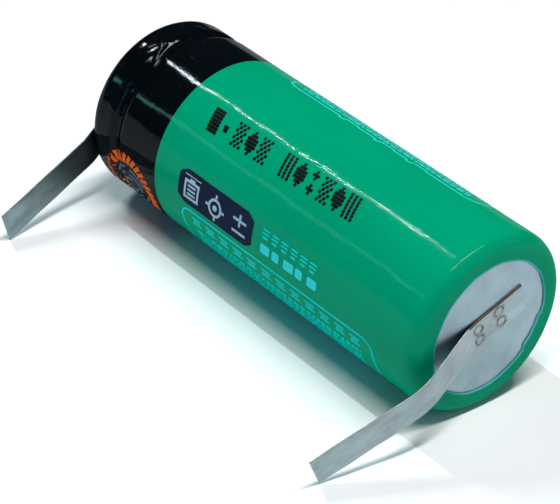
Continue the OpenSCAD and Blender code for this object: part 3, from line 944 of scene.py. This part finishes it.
def make_tabs():
    """Both solder tabs, each along a path of (reach, height over its terminal face) points."""
    neg_offset, neg_reach = 0.37, 19.8
    neg_angle = resting_angle(neg_reach, TAB_W / 2 - neg_offset)
    neg_path = soft_path([(-4.0, 0.004), (1.8, 0.004), (8.8, 1.85), (neg_reach, 0.3)], 1.6)
    neg_metal = welded_strip_material("nickel_negative_strip", neg_angle, BASE_X, WELD_PLACES, neg_offset,
                                      (0.35, 0.44, 0.47), (0.26, 0.30, 0.31))
    make_tab("negative_strip", neg_path, 1, neg_angle, neg_offset, BASE_X, WELD_PLACES, 0.10,
             neg_metal, "negative_tab")
    pos_offset, pos_reach = 0.62, 20.2
    pos_angle = resting_angle(pos_reach, TAB_W / 2 - pos_offset)
    button = CAP_X - POS_END
    pos_path = soft_path([(-3.0, button - 0.004), (4.05, button - 0.004), (7.3, -0.05), (9.0, 0.6),
                          (pos_reach, 2.3)], 0.7)
    pos_welds = tuple((a - 0.3, w) for a, w in WELD_PLACES)
    # Darker nickel than the negative strip's: painted shade, the same metal darkened for how the light falls
    # on this strip
    pos_shaded_metal = welded_strip_material("nickel_positive_strip_painted_shade", pos_angle, CAP_X, pos_welds, pos_offset,
                                      (0.24, 0.33, 0.35), (0.16, 0.20, 0.21))
    make_tab("positive_strip", pos_path, -1, pos_angle, pos_offset, POS_END, pos_welds, -0.05,
             pos_shaded_metal, "positive_tab")


# ---------- finishes of the CAD nodes ----------

def finish_nodes():
    """Gives every CAD node the material of the real piece."""
    steel = metal_material("can_plating", (0.32, 0.42, 0.47), (0.27, 0.36, 0.40), 0.36,
                           (22, 0, 0), (3, 0.5, 4))
    cap = metal_material("cap_plating", (0.42, 0.48, 0.51), (0.33, 0.37, 0.39), 0.28, grain=(3, 3, 3))
    strip = metal_material("inner_strip_nickel", (0.60, 0.63, 0.65), (0.42, 0.42, 0.41), 0.32)
    rolled = metal_material("rolled_aluminium", (0.80, 0.81, 0.83), (0.66, 0.67, 0.69), 0.30,
                            grain=(6, 0.3, 6))
    mesh_metal = metal_material("expanded_metal", (0.55, 0.56, 0.58), (0.30, 0.31, 0.32), 0.45,
                                grain=(4, 4, 4))
    lithium = metal_material("lithium_strip", (0.52, 0.54, 0.58), (0.33, 0.34, 0.38), 0.48,
                             grain=(0.2, 3, 3))
    fibre = sheet_material("washer_fibre", (0.74, 0.70, 0.58), (0.52, 0.46, 0.34), 0.8, 4.0, 0.02)
    gasket = sheet_material("gasket_polymer", (0.72, 0.77, 0.80), (0.62, 0.67, 0.70), 0.45, 2.0, 0.005)
    carbon = sheet_material("limiter_carbon", (0.03, 0.03, 0.032), (0.08, 0.08, 0.085), 0.6, 5.0, 0.01)
    card = sheet_material("insulator_card", (0.70, 0.60, 0.38), (0.56, 0.46, 0.26), 0.7, 4.0, 0.02)
    web = sheet_material("separator_web", (0.86, 0.86, 0.84), (0.76, 0.76, 0.74), 0.55, 8.0, 0.004)
    powder = sheet_material("cathode_powder", (0.022, 0.021, 0.020), (0.06, 0.055, 0.05), 0.85, 9.0, 0.02)
    tape = sheet_material("amber_tape", (0.62, 0.33, 0.05), (0.50, 0.24, 0.03), 0.3, 1.5, 0.004)
    film = film_material("plain_film", *GREEN_FILM)
    finishes = {
        "shrink_sleeve": film, "negative_tab": strip, "positive_tab": strip,
        "can": steel, "top_cap": cap, "positive_washer": fibre, "seal_gasket": gasket, "ptc_ring": carbon,
        "vent_disc": rolled, "spacer_ring": card, "contact_plate": rolled, "upper_insulator": card,
        "lower_insulator": card, "separator_inner": web, "separator_outer": web, "cathode_coat_inner": powder,
        "cathode_coat_outer": powder, "cathode_collector": mesh_metal, "anode_foil": lithium,
        "anode_tab": strip, "cathode_tab": strip, "anode_tab_tape": tape, "cathode_tab_tape": tape,
        "winding_tape": tape,
    }
    for name, mat in finishes.items():
        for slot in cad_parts[name].material_slots:
            slot.material = mat


# ---------- floor, lights, camera ----------

FLOOR_HALF = 900.0
FLOOR_DROP = 0.02

# Distance from the barrel of the lights that are mirrored in it
GLINT_FROM = 620


def make_floor():
    """A pale plane just under the resting plane."""
    z = FLOOR_Z - FLOOR_DROP
    corners = [(-FLOOR_HALF, -FLOOR_HALF, z), (FLOOR_HALF, -FLOOR_HALF, z),
               (FLOOR_HALF, FLOOR_HALF, z), (-FLOOR_HALF, FLOOR_HALF, z)]
    mat, tree, bsdf = new_material("pale_floor")
    drift = noise(tree, (0.02, 0.02, 0.02), 2)
    tree.links.new(mix_colour(tree, drift, (0.90, 0.90, 0.90), (0.88, 0.88, 0.88)), bsdf.inputs["Base Color"])
    bsdf.inputs["Roughness"].default_value = 0.9
    bsdf.inputs["Specular IOR Level"].default_value = 0.1
    mesh_object("floor", corners, [(0, 1, 2, 3)], [mat], smooth=False)


def add_turned(name, data, place, axes):
    """An object in the scene at a place, with its own axes along three directions."""
    made = bpy.data.objects.new(name, data)
    made.matrix_world = Matrix.Translation(Vector(place) * MM) @ Matrix(axes).transposed().to_4x4()
    bpy.context.scene.collection.objects.link(made)
    return made


def area_light(name, place, size, power, colour, long_axis=(1, 0, 0)):
    """A rectangular light that faces the origin, with its first side along an axis."""
    lamp = bpy.data.lights.new(name, "AREA")
    lamp.shape = "RECTANGLE"
    lamp.size, lamp.size_y = [v * MM for v in size]
    lamp.energy = power
    lamp.color = colour
    back = Vector(place).normalized()
    side = Vector(long_axis)
    side = (side - side.dot(back) * back).normalized()
    add_turned(name, lamp, place, (side, back.cross(side), back))


def mirror_place(degrees):
    """Where a light shows in the camera as a glint at this angle of the barrel, halfway along it."""
    a = math.radians(degrees)
    normal = Vector((0, math.cos(a), math.sin(a)))
    spot = normal * BODY_R
    view = (CAMERA_AT - spot).normalized()
    return spot + (2 * normal.dot(view) * normal - view) * GLINT_FROM


def make_lights():
    """Two glints on the barrel, the key light overhead, two fills, and a dim sky."""
    area_light("strip_glint", mirror_place(117.7), (190, 3), 1.6, (0.80, 0.97, 1.0))
    area_light("soft_edge", mirror_place(145.1), (190, 34), 0.17, (0.35, 1.0, 0.85))
    area_light("key_softbox", (120, -20, 650), (560, 60), 4.3, (1.0, 0.995, 0.98), long_axis=(0, 1, 0))
    area_light("blue_fill", (260, -500, 110), (300, 300), 0.55, (0.10, 0.50, 1.0))
    area_light("side_fill", (500, 420, 260), (420, 420), 0.4, (0.90, 0.96, 1.0))
    world = bpy.data.worlds.new("studio")
    world.use_nodes = True
    background = world.node_tree.nodes["Background"]
    background.inputs["Color"].default_value = (0.55, 0.80, 1.0, 1)
    background.inputs["Strength"].default_value = 0.06
    bpy.context.scene.world = world
    bpy.context.scene.view_settings.view_transform = "Standard"


def make_camera():
    """The camera, turned by its heading, its downward tilt and its roll."""
    heading, down, roll = [math.radians(v) for v in (CAMERA_HEADING, CAMERA_DOWN, CAMERA_ROLL)]
    forward = Vector((math.cos(down) * math.cos(heading), math.cos(down) * math.sin(heading),
                      -math.sin(down)))
    level = forward.cross(Vector((0, 0, 1))).normalized()
    right = level * math.cos(roll) + level.cross(forward) * math.sin(roll)
    lens = bpy.data.cameras.new("camera")
    lens.lens = CAMERA_LENS
    lens.sensor_width = 36.0
    lens.clip_start = 0.01
    made = add_turned("camera", lens, CAMERA_AT, (right, right.cross(forward), -forward))
    bpy.context.scene.camera = made


make_camera()
make_lights()
make_floor()
finish_nodes()
make_sleeve()
make_prints()
make_tabs()
